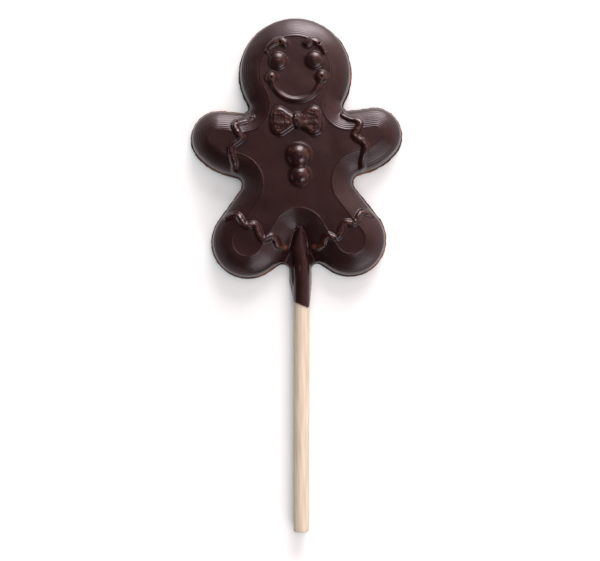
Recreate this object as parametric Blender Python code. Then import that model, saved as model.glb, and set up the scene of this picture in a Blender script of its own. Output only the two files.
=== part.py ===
"""Gingerbread-man chocolate lollipop on a round wooden stick, lying on its flat back.

+Z is up, the head points along +Y and the stick along -Y. The origin is the middle of the
whole, on the surface that it lies on. Sizes are in millimetres and become metres as the
meshes are made. Places on the figure are measured from CROTCH_Y, on its line of symmetry.
"""
import math

import bmesh
import bpy
from mathutils import Matrix, Vector

MM = 0.001

# Place of the figure
CROTCH_Y = 12.1
RELIEF_X = 0.35

# Outline: circles (x, y, radius) down the right side, joined by straight tangents.
# A negative radius is a hollow that the outline bends round.
HEAD = (0.0, 45.3, 16.4)
NECK = (15.05, 36.0, -1.25)
ARM = (22.3, 27.2, 8.3)
FOREARM = (16.2, 32.0, 16.0)
ARMPIT = (18.35, 13.75, -2.15)
FOOT = (14.65, -2.6, 10.7)
NOTCH = (0.0, -0.9, -1.0)
ARC_STEP = math.radians(9.0)

# Section of the figure, from its edge inwards
THICKNESS = 8.2
FLASH_WIDTH = 0.35
FLASH_HEIGHT = 0.5
WALL_TOP = (1.4, 4.7)
SLOPE_WIDTH = 6.45
SLOPE_EDGE_ANGLE = math.radians(12.0)
SLOPE_RINGS = 6

# Face. Sizes are half widths along X, Y and Z.
EYE_PLACE = (5.15, 48.25)
EYE_SIZE = (2.45, 2.45, 1.5)
CHEEK_PLACE = (7.05, 43.6)
CHEEK_SIZE = (1.7, 1.7, 1.45)
SMILE_BOTTOM_Y = 37.1
SMILE_RADIUS = 0.7
SMILE_END_IN = 0.2
SMILE_END_DOWN = 1.0
SMILE_STEPS = 18
BROW_POINTS = ((3.2, 53.3), (4.3, 53.9), (6.0, 53.5), (7.4, 52.1), (8.2, 50.7))
BROW_RADII = (0.85, 0.4)

# Bow tie
BOW_PLACE = (0.35, 31.25)
BOW_OUTER_CIRCLE = (4.75, 2.0, 2.05)
BOW_INNER_CIRCLE = (2.0, 0.0, 2.3)
BOW_HEIGHT = 1.6
BOW_SIDE_HEIGHT = 0.3
BOW_ROUNDING = 1.2
BOW_ROUNDING_STEPS = 4
KNOT_SIZE = (1.5, 2.4, 2.2)

# Buttons, as (x, y, radius, height)
UPPER_BUTTON = (0.45, 21.1, 3.2, 2.6)
LOWER_BUTTON = (0.6, 15.1, 2.7, 2.2)

# Piped icing lines, with the points of the ones on the right side
LINE_RADIUS = 0.8
LINE_LIFT = 0.1
CUFF_POINTS = (
    (13.1, 32.8), (14.7, 31.8), (16.8, 31.3), (17.7, 30.3), (16.9, 28.5), (16.0, 26.8),
    (17.2, 25.6), (18.4, 24.8), (19.0, 23.5), (18.6, 21.3), (18.2, 19.6), (18.3, 17.9),
)
ANKLE_POINTS = (
    (20.9, 4.5), (19.1, 5.1), (17.4, 4.8), (16.2, 2.9), (14.9, 1.9), (13.1, 2.2),
    (12.0, 1.1), (11.3, -1.0), (10.0, -2.1), (8.0, -1.4), (6.9, -2.1), (6.2, -3.9),
    (5.0, -4.8), (3.6, -4.7),
)
LINE_STEPS = 3
LINE_SIDES = 8
LINE_TIP = 0.6

# How far a relief reaches down into the figure
RELIEF_DEPTH = 0.6

# Stick
STICK_RADIUS = 2.25
STICK_LENGTH = 100.0
STICK_END_Y = -85.9
STICK_AXIS_Z = 2.9
STICK_CROSSING_X = 0.93
STICK_LEAN = math.radians(1.35)
STICK_CHAMFER = 0.25
FIT_GAP = 0.3

# Sleeve of chocolate round the stick, with a blunt nose in the dip between the legs
SLEEVE_RADIUS = STICK_RADIUS + FIT_GAP + 0.4
SLEEVE_SIDES = 16
SLEEVE_END_Y = -21.2
SLEEVE_END_SLANT = 0.39
NOSE_TOP_Y = 3.0
NOSE_LENGTH = 3.6
NOSE_STEPS = 6

# Low chocolate beside the sleeve: half widths at places along Y, and heights
FLANGE_HALF_WIDTHS = (
    (2.0, 4.2), (-7.0, 4.2), (-9.0, 5.4), (-9.9, 3.9), (-11.5, 3.4), (-18.0, 3.1),
)
FLANGE_HEIGHT = 2.8
WEB_HALF_WIDTHS = ((1.0, 2.6), (-4.0, 5.0), (-7.2, 4.6), (-8.6, 3.4))
WEB_HEIGHT = 4.1

# The bore runs out past the sleeve's end
BORE_OVERRUN = 8.0


def clear_scene():
    for old in list(bpy.data.objects):
        bpy.data.objects.remove(old, do_unlink=True)


def principled(name, colour, roughness):
    """A plain non-metallic material."""
    material = bpy.data.materials.new(name)
    material.use_nodes = True
    shader = material.node_tree.nodes["Principled BSDF"]
    shader.inputs["Base Color"].default_value = (*colour, 1.0)
    shader.inputs["Roughness"].default_value = roughness
    shader.inputs["Metallic"].default_value = 0.0
    material.diffuse_color = (*colour, 1.0)
    return material


def mesh_object(name, shape, material=None):
    """Turn a bmesh in millimetres into an object in metres, seated on the figure's origin."""
    bmesh.ops.recalc_face_normals(shape, faces=shape.faces)
    if shape.calc_volume(signed=True) < 0.0:
        bmesh.ops.reverse_faces(shape, faces=shape.faces)
    place = Matrix.Translation((0.0, CROTCH_Y, 0.0))
    shape.transform(Matrix.Scale(MM, 4) @ place)
    mesh = bpy.data.meshes.new(name)
    shape.to_mesh(mesh)
    shape.free()
    if material:
        mesh.materials.append(material)
    made = bpy.data.objects.new(name, mesh)
    bpy.context.scene.collection.objects.link(made)
    return made


def tangent_direction(first, second):
    """Heading of the straight edge that leaves one circle and touches the next."""
    dx = second[0] - first[0]
    dy = second[1] - first[1]
    ratio = (first[2] - second[2]) / math.hypot(dx, dy)
    return math.atan2(dy, dx) - math.asin(max(-1.0, min(1.0, ratio)))


def belt(circles):
    """Closed clockwise outline round the circles: a list of (point, outward normal)."""
    count = len(circles)
    headings = [tangent_direction(circles[i], circles[(i + 1) % count]) for i in range(count)]
    outline = []
    for i, (x, y, radius) in enumerate(circles):
        start = headings[i - 1]
        turn = (start - headings[i]) % math.tau
        if radius < 0.0:
            turn -= math.tau
        if abs(turn) > 0.9 * math.tau:
            turn = 0.0
        steps = max(1, math.ceil(abs(turn) / ARC_STEP))
        for k in range(steps + 1):
            heading = start - turn * k / steps
            normal = Vector((-math.sin(heading), math.cos(heading)))
            outline.append((Vector((x, y)) + normal * radius, normal))
    return outline


def mirrored(circle):
    return (-circle[0], circle[1], circle[2])


def figure_outline():
    side = [NECK, ARM, FOREARM, ARMPIT, FOOT]
    return belt([HEAD] + side + [NOTCH] + [mirrored(c) for c in reversed(side)])


def slope_arc():
    """Centre and radius of the arc that rounds the wall over to the flat front."""
    run = SLOPE_WIDTH - WALL_TOP[0]
    rise = THICKNESS - WALL_TOP[1]
    # The arc meets the front at SLOPE_EDGE_ANGLE and passes through the wall's top.
    half_chord = (run * run + rise * rise) / 2.0
    radius = half_chord / (rise * math.cos(SLOPE_EDGE_ANGLE) - run * math.sin(SLOPE_EDGE_ANGLE))
    centre_in = SLOPE_WIDTH + radius * math.sin(SLOPE_EDGE_ANGLE)
    centre_z = THICKNESS - radius * math.cos(SLOPE_EDGE_ANGLE)
    return centre_in, centre_z, radius


def surface_height(inset):
    """Height of the figure's front at a distance inside its edge."""
    if inset >= SLOPE_WIDTH:
        return THICKNESS
    if inset >= WALL_TOP[0]:
        centre_in, centre_z, radius = slope_arc()
        return centre_z + math.sqrt(radius ** 2 - (centre_in - inset) ** 2)
    if inset >= FLASH_WIDTH:
        share = (inset - FLASH_WIDTH) / (WALL_TOP[0] - FLASH_WIDTH)
        return FLASH_HEIGHT + (WALL_TOP[1] - FLASH_HEIGHT) * share
    return FLASH_HEIGHT


def front_height(x, y, outline):
    """Height of the figure's front at a place on it."""
    place = Vector((x, y))
    nearest = min(
        segment_distance(place, outline[i - 1][0], outline[i][0]) for i in range(len(outline))
    )
    return surface_height(nearest)


def segment_distance(place, start, end):
    along = end - start
    length = along.length_squared
    share = 0.0 if length == 0.0 else max(0.0, min(1.0, (place - start).dot(along) / length))
    return (place - start - along * share).length


def domed(outline, rings):
    """Closed solid over an outline, from rings given as (inset, height)."""
    shape = bmesh.new()
    loops = []
    for inset, height in rings:
        loops.append([shape.verts.new((*(p - n * inset), height)) for p, n in outline])
    count = len(outline)
    for lower, upper in zip(loops, loops[1:]):
        for i in range(count):
            shape.faces.new((lower[i - 1], lower[i], upper[i], upper[i - 1]))
    shape.faces.new(loops[0])
    shape.faces.new(reversed(loops[-1]))
    bmesh.ops.dissolve_degenerate(shape, edges=shape.edges, dist=1e-4)
    return shape


def figure_shape(outline):
    rings = [(0.0, 0.0), (0.0, FLASH_HEIGHT), (FLASH_WIDTH, FLASH_HEIGHT)]
    for k in range(SLOPE_RINGS + 1):
        share = (k / SLOPE_RINGS) ** 1.4
        inset = WALL_TOP[0] + (SLOPE_WIDTH - WALL_TOP[0]) * share
        rings.append((inset, surface_height(inset)))
    return domed(outline, rings)


def ball(place, size, segments=24):
    shape = bmesh.new()
    bmesh.ops.create_uvsphere(shape, u_segments=segments, v_segments=segments // 2, radius=1.0)
    shape.transform(Matrix.Translation(place) @ Matrix.Diagonal((*size, 1.0)))
    return shape


def smooth_path(points, steps):
    """Catmull-Rom curve through the points."""
    guides = [points[0] * 2.0 - points[1]] + list(points) + [points[-1] * 2.0 - points[-2]]
    path = []
    for i in range(1, len(guides) - 2):
        before, here, after, beyond = guides[i - 1:i + 3]
        for k in range(steps):
            t = k / steps
            path.append(0.5 * (
                2.0 * here
                + (after - before) * t
                + (2.0 * before - 5.0 * here + 4.0 * after - beyond) * t ** 2
                + (3.0 * here - before - 3.0 * after + beyond) * t ** 3
            ))
    path.append(points[-1])
    return path


def tube(path, radii, sides=LINE_SIDES):
    """Round tube along a path, with pointed ends."""
    shape = bmesh.new()
    count = len(path)
    loops = []
    for i, centre in enumerate(path):
        ahead = (path[min(i + 1, count - 1)] - path[max(i - 1, 0)]).normalized()
        across = ahead.cross(Vector((0.0, 0.0, 1.0))).normalized()
        upward = across.cross(ahead)
        loops.append([
            shape.verts.new(centre + radii[i] * (
                math.cos(a) * across + math.sin(a) * upward))
            for a in (math.tau * (k + 0.5) / sides for k in range(sides))
        ])
    for lower, upper in zip(loops, loops[1:]):
        for k in range(sides):
            shape.faces.new((lower[k - 1], lower[k], upper[k], upper[k - 1]))
    for loop, near, radius in ((loops[0], path[1], radii[0]), (loops[-1], path[-2], radii[-1])):
        end = path[0] if loop is loops[0] else path[-1]
        tip = shape.verts.new(end + (end - near).normalized() * radius * LINE_TIP)
        for k in range(sides):
            shape.faces.new((loop[k - 1], loop[k], tip))
    return shape


def icing_line(points, side, outline, radii):
    """Piped line that follows the front; side is 1 for the right and -1 for the left.

    Its radius runs evenly from the first of the radii to the last.
    """
    flat = [Vector((side * x + RELIEF_X, y, 0.0)) for x, y in points]
    path = smooth_path(flat, LINE_STEPS)
    for place in path:
        place.z = max(front_height(place.x, place.y, outline), WEB_HEIGHT) + LINE_LIFT
    spread = [
        radii[0] + (radii[-1] - radii[0]) * i / (len(path) - 1) for i in range(len(path))
    ]
    return tube(path, spread)


def smile(outline):
    """Round smile from cheek to cheek."""
    cheek_x, cheek_y = CHEEK_PLACE
    start = Vector((cheek_x - SMILE_END_IN, cheek_y - SMILE_END_DOWN))
    drop = start.y - SMILE_BOTTOM_Y
    radius = (start.x ** 2 + drop ** 2) / (2.0 * drop)
    reach = math.asin(start.x / radius)
    path = []
    for k in range(SMILE_STEPS + 1):
        angle = reach * (2.0 * k / SMILE_STEPS - 1.0)
        x = radius * math.sin(angle) + RELIEF_X
        y = SMILE_BOTTOM_Y + radius * (1.0 - math.cos(angle))
        path.append(Vector((x, y, front_height(x, y, outline) + LINE_LIFT)))
    return tube(path, [SMILE_RADIUS] * len(path))


def bow_lobe(side):
    """One rounded lobe of the bow tie."""
    x, y, radius = BOW_OUTER_CIRCLE
    lobe = belt([(x, y, radius), (x, -y, radius), BOW_INNER_CIRCLE])
    side_top = THICKNESS + BOW_SIDE_HEIGHT
    rings = [(0.0, THICKNESS - RELIEF_DEPTH), (0.0, side_top)]
    for k in range(1, BOW_ROUNDING_STEPS + 1):
        angle = math.pi / 2.0 * k / BOW_ROUNDING_STEPS
        inset = BOW_ROUNDING * (1.0 - math.cos(angle))
        rings.append((inset, side_top + (BOW_HEIGHT - BOW_SIDE_HEIGHT) * math.sin(angle)))
    shape = domed(lobe, rings)
    turn = 0.0 if side > 0 else math.pi
    shape.transform(Matrix.Translation((*BOW_PLACE, 0.0)) @ Matrix.Rotation(turn, 4, "Z"))
    return shape


def stick_x(y):
    """Sideways place of the stick's axis, which leans a little to the figure's line."""
    return STICK_CROSSING_X + y * math.tan(STICK_LEAN)


def end_y(x):
    """The sleeve ends in a slanted cut."""
    return SLEEVE_END_Y - SLEEVE_END_SLANT * (x - stick_x(SLEEVE_END_Y))


def sleeve():
    """Half-round sleeve over the stick, with a nose in the dip between the legs."""
    section = []
    for k in range(SLEEVE_SIDES + 1):
        angle = math.pi * k / SLEEVE_SIDES
        section.append((SLEEVE_RADIUS * math.cos(angle), SLEEVE_RADIUS * math.sin(angle)))
    stations = []
    for k in range(1, NOSE_STEPS + 1):
        angle = math.pi / 2.0 * k / NOSE_STEPS
        stations.append((NOSE_TOP_Y - NOSE_LENGTH * (1.0 - math.cos(angle)), math.sin(angle)))
    stations.append((SLEEVE_END_Y, 1.0))
    shape = bmesh.new()
    loops = []
    for y, share in stations:
        middle = stick_x(y)
        ring = [(middle + share * x, STICK_AXIS_Z + share * z) for x, z in section]
        ring = [(ring[0][0], 0.0)] + ring + [(ring[-1][0], 0.0)]
        is_end = y == SLEEVE_END_Y
        loops.append([shape.verts.new((x, end_y(x) if is_end else y, z)) for x, z in ring])
    for lower, upper in zip(loops, loops[1:]):
        for k in range(len(lower)):
            shape.faces.new((lower[k - 1], lower[k], upper[k], upper[k - 1]))
    shape.faces.new(loops[0])
    shape.faces.new(reversed(loops[-1]))
    return shape


def slab(half_widths, height, to_end):
    """Low slab beside the sleeve, from half widths given as (y, half width)."""
    stations = list(half_widths)
    if to_end:
        stations.append((SLEEVE_END_Y, half_widths[-1][1]))
    right = []
    left = []
    for y, half in stations:
        last = to_end and y == SLEEVE_END_Y
        middle = stick_x(y)
        right.append((middle + half, end_y(middle + half) if last else y))
        left.append((middle - half, end_y(middle - half) if last else y))
    corners = right + left[::-1]
    shape = bmesh.new()
    bottom = [shape.verts.new((x, y, 0.0)) for x, y in corners]
    top = [shape.verts.new((x, y, height)) for x, y in corners]
    for i in range(len(corners)):
        shape.faces.new((bottom[i - 1], bottom[i], top[i], top[i - 1]))
    shape.faces.new(bottom)
    shape.faces.new(reversed(top))
    return shape


def rod(radius, start_y, finish_y, chamfer, sides=32):
    """Round rod along the stick's axis."""
    shape = bmesh.new()
    stations = [(start_y, radius), (finish_y, radius)]
    if chamfer:
        stations = [
            (start_y, radius - chamfer), (start_y - chamfer, radius),
            (finish_y + chamfer, radius), (finish_y, radius - chamfer),
        ]
    loops = []
    for y, size in stations:
        ring = []
        for k in range(sides):
            angle = math.tau * k / sides
            place = (stick_x(y) + size * math.cos(angle), y, STICK_AXIS_Z + size * math.sin(angle))
            ring.append(shape.verts.new(place))
        loops.append(ring)
    for lower, upper in zip(loops, loops[1:]):
        for k in range(sides):
            shape.faces.new((lower[k - 1], lower[k], upper[k], upper[k - 1]))
    shape.faces.new(loops[0])
    shape.faces.new(reversed(loops[-1]))
    return shape


def relief_shapes(outline):
    """Everything that stands proud of the figure's front, as separate closed solids."""
    shapes = {}
    shapes["Sleeve"] = sleeve()
    shapes["Flange"] = slab(FLANGE_HALF_WIDTHS, FLANGE_HEIGHT, True)
    shapes["Web"] = slab(WEB_HALF_WIDTHS, WEB_HEIGHT, False)
    shapes["Smile"] = smile(outline)
    shapes["Knot"] = ball((*BOW_PLACE, THICKNESS), KNOT_SIZE, 16)
    for name, (x, y, radius, height) in (("Upper", UPPER_BUTTON), ("Lower", LOWER_BUTTON)):
        shapes[name + "Button"] = ball((x, y, THICKNESS), (radius, radius, height))
    for side, name in ((1, "Right"), (-1, "Left")):
        eye_x, eye_y = EYE_PLACE
        cheek_x, cheek_y = CHEEK_PLACE
        eye = (side * eye_x + RELIEF_X, eye_y, THICKNESS)
        cheek = (side * cheek_x + RELIEF_X, cheek_y, THICKNESS)
        shapes[name + "Eye"] = ball(eye, EYE_SIZE)
        shapes[name + "Cheek"] = ball(cheek, CHEEK_SIZE, 16)
        shapes[name + "Lobe"] = bow_lobe(side)
        shapes[name + "Brow"] = icing_line(BROW_POINTS, side, outline, BROW_RADII)
        shapes[name + "Cuff"] = icing_line(CUFF_POINTS, side, outline, (LINE_RADIUS,))
        shapes[name + "Ankle"] = icing_line(ANKLE_POINTS, side, outline, (LINE_RADIUS,))
    return shapes


def apply_boolean(target, operation, cutter=None, group=None):
    """Apply one Boolean modifier and keep its result as the target's mesh.

    The exact solver leaves open edges where the level bottoms meet, so MANIFOLD is used.
    """
    modifier = target.modifiers.new(operation.title(), "BOOLEAN")
    modifier.operation = operation
    modifier.solver = "MANIFOLD"
    if group:
        modifier.operand_type = "COLLECTION"
        modifier.collection = group
    else:
        modifier.object = cutter
    depsgraph = bpy.context.evaluated_depsgraph_get()
    result = bpy.data.meshes.new_from_object(target.evaluated_get(depsgraph))
    target.modifiers.remove(modifier)
    old = target.data
    target.data = result
    bpy.data.meshes.remove(old)


def build_chocolate():
    dark = principled("dark chocolate", (0.045, 0.022, 0.018), 0.28)
    outline = figure_outline()
    chocolate = mesh_object("chocolate", figure_shape(outline), dark)

    group = bpy.data.collections.new("relief")
    bpy.context.scene.collection.children.link(group)
    for name, shape in relief_shapes(outline).items():
        piece = mesh_object(name, shape)
        bpy.context.scene.collection.objects.unlink(piece)
        group.objects.link(piece)
    apply_boolean(chocolate, "UNION", group=group)
    for piece in list(group.objects):
        bpy.data.objects.remove(piece, do_unlink=True)
    bpy.data.collections.remove(group)

    bore_top = STICK_END_Y + STICK_LENGTH + FIT_GAP
    bore = mesh_object("Bore", rod(STICK_RADIUS + FIT_GAP, bore_top, SLEEVE_END_Y - BORE_OVERRUN, 0.0))
    apply_boolean(chocolate, "DIFFERENCE", cutter=bore)
    bpy.data.objects.remove(bore, do_unlink=True)

    chocolate.data.shade_smooth()
    chocolate.data.set_sharp_from_angle(angle=math.radians(35.0))
    return chocolate


def build_stick():
    pale = principled("pale wood", (0.72, 0.56, 0.42), 0.6)
    shape = rod(STICK_RADIUS, STICK_END_Y + STICK_LENGTH, STICK_END_Y, STICK_CHAMFER)
    stick = mesh_object("stick", shape, pale)
    stick.data.shade_smooth()
    stick.data.set_sharp_from_angle(angle=math.radians(35.0))
    return stick


clear_scene()
build_chocolate()
build_stick()
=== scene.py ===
"""Looks of a gingerbread-man chocolate lollipop that lies on its flat back.

Shapes are worked out in millimetres in the figure's own frame, whose origin is the crotch
between the legs, and become metres as the meshes are made.
"""

import math

import bpy
import numpy as np
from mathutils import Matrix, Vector, noise
from mathutils.geometry import delaunay_2d_cdt


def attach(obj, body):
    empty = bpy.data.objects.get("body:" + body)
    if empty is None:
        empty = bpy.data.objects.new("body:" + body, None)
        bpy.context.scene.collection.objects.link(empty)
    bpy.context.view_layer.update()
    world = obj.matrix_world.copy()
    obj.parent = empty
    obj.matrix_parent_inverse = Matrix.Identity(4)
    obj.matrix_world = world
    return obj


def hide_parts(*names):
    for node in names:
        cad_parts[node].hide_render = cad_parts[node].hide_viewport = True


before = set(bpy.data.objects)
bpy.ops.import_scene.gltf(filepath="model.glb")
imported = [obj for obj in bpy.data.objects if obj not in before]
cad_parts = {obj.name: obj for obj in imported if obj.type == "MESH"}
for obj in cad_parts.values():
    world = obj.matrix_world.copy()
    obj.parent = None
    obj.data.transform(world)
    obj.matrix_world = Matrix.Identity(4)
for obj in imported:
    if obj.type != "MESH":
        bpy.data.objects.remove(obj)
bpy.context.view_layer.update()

MM = 0.001
PICTURE_SIZE = (600, 561)

# A distance that stands for no nearness at all, and the least that anything is divided by
FAR = 1e9
TINY = 0.01

# Places closer than this are the same one, in the outlines and in the meshes.
SAME_PLACE = 1e-6
SAME_VERTEX = 1e-5

# Smooth noises are given as the size of their patches, a seed and the number of octaves. A
# seed moves the place in the noise, and each octave is finer and weaker than the one before.
SEED_SHIFT = (17.3, 5.1, 9.7)
OCTAVE_WEAKENING = 0.8
OCTAVE_FINENESS = 2.0

# Place of the figure
CROTCH_Y = 12.1
RELIEF_X = 0.35

# Outline circles (x, y, radius) down the right side. A negative radius is a hollow.
HEAD = (0.0, 45.3, 16.4)
NECK = (15.05, 36.0, -1.25)
ARM = (22.3, 27.2, 8.3)
FOREARM = (16.2, 32.0, 16.0)
ARMPIT = (18.35, 13.75, -2.15)
FOOT = (14.65, -2.6, 10.7)
NOTCH = (0.0, -0.9, -1.0)
SIDE = [NECK, ARM, FOREARM, ARMPIT, FOOT]

# The sleeve round the stick widens the outline below the feet, from the right foot to the left.
SLEEVE = [
    (5.15, -11.0, -1.6), (3.0, -15.0, 0.5), (2.35, -20.4, 0.6), (2.1, -21.3, 0.7),
    (-1.0, -19.6, 1.0), (-2.45, -14.0, 0.6), (-4.85, -11.2, -1.85),
]

# A circle that the outline would go nearly all the way round is only touched by it, and
# small arcs have this many times as many points.
FULL_TURN = 0.9 * math.tau
SMALL_RADIUS = 3.0
SMALL_ARC_FINENESS = 3

# Section of the figure, from its edge inwards
THICKNESS = 8.2
FLASH_WIDTH = 0.45
FLASH_HEIGHT = 0.45
WALL_SPREAD = 0.19
SLOPE_WIDTH = 6.45
SLOPE_START = 1.0
SLOPE_FINISH = 0.3
SLOPE_RISE = (SLOPE_WIDTH - FLASH_WIDTH) * (SLOPE_START + SLOPE_FINISH) / 2.0
EDGE_LINE_HEIGHT = 0.06
EDGE_LINE_WIDTH = 0.12

# The slope ends softer on the limbs and beside the face. An area's border is given as
# where it begins or ends, and the width of the change there.
LIMB_SOFTENING = 0.16
ARM_SOFTENING = 0.1
HEAD_SOFTENING = 0.13
LIMB_SIDE = (11.0, 6.0)
ARM_SIDE = (17.0, 4.0)
ARM_BOTTOM_Y = 12.0
FACE_SIDE = (3.5, 4.0)
FACE_BOTTOM = (32.0, 4.0)
FACE_TOP = (57.0, 5.0)
FACE_EDGE_FADING = 0.8

# Slight waves of the whole front, and how they and the relief fade towards the edge
WAVE_HEIGHT = 0.05
WAVES = ((7.0, 7.0), 1, 2)
WAVE_RIM = (0.5, 2.0)
RELIEF_RIM = (0.5, 0.8)

# Stick, with its slimmer part inside the chocolate
STICK_RADIUS = 2.25
STICK_LENGTH = 100.0
STICK_END_Y = -85.9
STICK_AXIS_Z = 2.9
STICK_CROSSING_X = 0.93
STICK_LEAN = math.radians(1.35)
STICK_SIDES = 72
STICK_STATIONS = 160
STICK_END_LENGTH = 1.0
STICK_SHARP_ANGLE = math.radians(40.0)
HIDDEN_STICK_RADIUS = 1.3
SLEEVE_COVER_Y = -18.0
SLEEVE_COVER_BLEND = 2.0

# Broken edges of the stick's ends (distance from the end, loss of radius), and its unevenness
HIDDEN_END = ((0.0, 0.32), (0.06, 0.16), (0.16, 0.05), (0.32, 0.0))
FREE_END = ((0.32, 0.0), (0.16, 0.05), (0.06, 0.14), (0.0, 0.26))
UNEVENNESS = 0.02
UNEVEN_ROUND = 2.2
UNEVEN_LENGTH = 14.0

# Pointed ridge over the stick
RIDGE_TIP = (0.45, 1.85)
RIDGE_WIDEST = (0.22, -5.3)
RIDGE_HALF_WIDTH = 2.15
RIDGE_CREST = 2.5
RIDGE_FULLNESS = 2.7
TUBE_FULLNESS_LOSS = 0.6
TUBE_FULLNESS_BLEND = 3.0
TUBE_TOP_Y = -9.0
TUBE_HALF_WIDTH = 2.38
RIDGE_FALL = 6.0
RIDGE_MARGIN = 0.25
RIDGE_MARGIN_SLOPE = 8.0
RIDGE_REACH_Y = 12.0
RIDGE_FILLET = 0.3

# Thin beads beside the ridge: half width and height
BORDERS = (
    ((-0.25, 1.1), (-0.75, 0.5), (-1.25, -0.2), (-1.75, -1.6), (-2.1, -2.9), (-2.45, -4.6)),
    ((1.3, 0.1), (1.75, -1.4), (2.1, -3.0), (2.35, -5.1), (2.85, -6.1), (3.6, -7.4), (3.95, -8.4)),
)
BORDER_SIZE = (0.45, 0.45)
BORDER_EDGE = 0.05

# Valley between the feet with its web, and the sleeve with its flanges
VALLEY_SIDE = (8.0, 1.5)
VALLEY_TOP = (4.0, 2.0)
WEB_LEVELS = (2.3, 3.2)
WEB_RANGE = (-9.5, -1.5)
WEB_TOP_Y = 1.0
WEB_FILLET = 0.4
FLANGE_LEVEL = 3.2
FLANGE_BLEND = 5.0
SLEEVE_AREA_SIDE = (6.5, 1.5)
SLEEVE_AREA_TOP = (-8.5, 1.5)
SLEEVE_FOOT = 0.3
SLEEVE_STEEPNESS = 3.4
WALL_FILLET = 0.05

# Fine lines that the mould's cutter left on the slopes, with their fading at the flat front
# and towards the wall. They stop at the relief, at the ridge and in the crotch.
LINE_PITCH = 0.56
LINE_DEPTH = 0.045
GRIT_SHARE = 0.35
CUT_END = (SLOPE_WIDTH + 0.1, 0.4)
CUT_GROWTH = (2.0, 3.5)
CUT_STRENGTH = (0.45, 0.55)
CUT_RELIEF_LIMIT = 0.03
CUT_RIDGE_LIMIT = 0.1
CROTCH_SHARE = 0.5
CROTCH_INSET = 1.0

# Eyes, cheeks, smile and brows: half widths and heights
EYE_PLACE = (5.15, 48.25)
EYE_SIZE = (2.5, 1.4)
CHEEK_PLACE = (7.05, 43.6)
CHEEK_SIZE = (1.75, 1.45)
BALL_FULLNESS = 0.8
SMILE_BOTTOM_Y = 37.1
SMILE_SIZE = (0.8, 0.75)
SMILE_FULLNESS = 0.75
SMILE_STEPS = 60
LEFT_BROW = ((-2.9, 53.3), (-3.7, 53.9), (-4.7, 54.0), (-6.0, 53.3), (-7.2, 52.2), (-7.9, 51.1))
RIGHT_BROW = ((3.6, 53.0), (4.6, 53.7), (6.1, 53.6), (7.6, 52.1), (8.5, 50.4))
BROW_SIZE = (1.0, 0.7)
BROW_FULLNESS = 0.7
BROW_TAPER = 0.45
BROW_TAPER_RANGE = (0.45, 0.5)

# The smile ends this far inwards from the middle of a cheek, and this far below it.
SMILE_END_INWARDS = 0.2
SMILE_END_BELOW = 1.0

# Bow tie, about its own middle: the circles round the right lobe, the steep wall (height,
# spread), the rim's width and slopes, and the crumpled inside
BOW_PLACE = (0.35, 31.25)
BOW_REACH = (9.0, 6.0)
BOW_FAR = 9.0
BOW_LOBE = [(4.6, 1.65, 2.4), (4.6, -1.75, 2.4), (2.0, -0.1, 2.3)]
LEFT_LOBE_SHIFT = 0.5
BOW_WALL = (0.72, 0.12)
BOW_RIM = 1.1
BOW_RIM_SLOPES = (0.88, 0.5)
BOW_INNER = (0.8, 0.6)
BOW_SINK = 0.08
CREASES = ((4.5, 1.4), 3, 2)
CREASE_HEIGHT = 0.12
CRUMBS = ((0.5, 0.45), 4, 2)
CRUMB_HEIGHT = 0.08
FOLD_Y = -1.0
FOLD_WIDTH = 0.6
FOLD_HEIGHT = 0.08
KNOT_SIZE = (1.5, 2.4, 2.25)
KNOT_SQUARENESS = 2.6
KNOT_CRUMB_HEIGHT = 0.18
KNOT_CRUMB_SPREAD = 0.8

# Buttons (x, y, radius, height), with the width and height of their pad
BUTTONS = ((0.42, 21.35, 3.55, 2.35), (0.7, 15.6, 3.0, 2.05))
BUTTON_FULLNESS = 0.9
BUTTON_PAD = (0.6, 0.16)

# Piped lines of the cuffs and ankles, lumpy as the brows are
LINE_SIZE = (0.94, 0.95)
LINE_FULLNESS = 0.72
LUMP_SHARE = 0.15
LUMPS = ((1.2, 1.2), 7, 2)
CUFF_POINTS = (
    (13.1, 32.8), (14.7, 31.8), (16.8, 31.3), (17.7, 30.3), (16.9, 28.5), (16.0, 26.8),
    (17.2, 25.6), (18.4, 24.8), (19.0, 23.5), (18.6, 21.3), (18.2, 19.6), (18.3, 17.9),
)
ANKLE_POINTS = (
    (20.9, 4.5), (19.1, 5.1), (17.4, 4.8), (16.2, 2.9), (14.9, 1.9), (13.1, 2.2),
    (12.0, 1.1), (11.3, -1.0), (10.0, -2.1), (8.0, -1.4), (6.9, -2.1), (6.2, -3.9),
    (5.0, -4.8), (3.6, -4.7),
)

# Low bevel along the lower side of the relief
SKIRT_HEIGHT = 0.24
SKIRT_WIDTH = 0.42
SKIRT_TURN = 0.6
SKIRT_INWARD_SHARE = 0.4
LINE_SKIRT_TUCK = 0.1
BOW_SKIRT_Y = 2.0

# Farthest from a path that its distance is worked out, and where relief is seen as begun
PATH_REACH = 2.0
RELIEF_EDGE = 0.1

# How dull each part is, from 0 for glossy to 1 for satin
DULLNESS = {"plain": 0.25, "cut": 0.5, "balls": 0.5, "bow": 0.3, "buttons": 0.3, "border": 0.1}

# Burst air bubbles: radius and depth, and the worn ring round them (radius, width)
PINHOLES = (
    (-6.75, 43.4), (7.4, 43.4), (-4.1, 53.5), (6.95, 52.8), (-16.8, 31.4),
)
PINHOLE_SIZE = (0.36, 0.95)
PINHOLE_WEAR = 0.25
PINHOLE_RING = (0.6, 0.2)

# Scuffs on the raised relief
SCUFFS = ((1.4, 1.4), 21, 3)
SCUFF_CONTRAST = 1.6
SCUFF_WEAR = 0.17
SCUFF_RELIEF = (0.4, 0.4)

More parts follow.
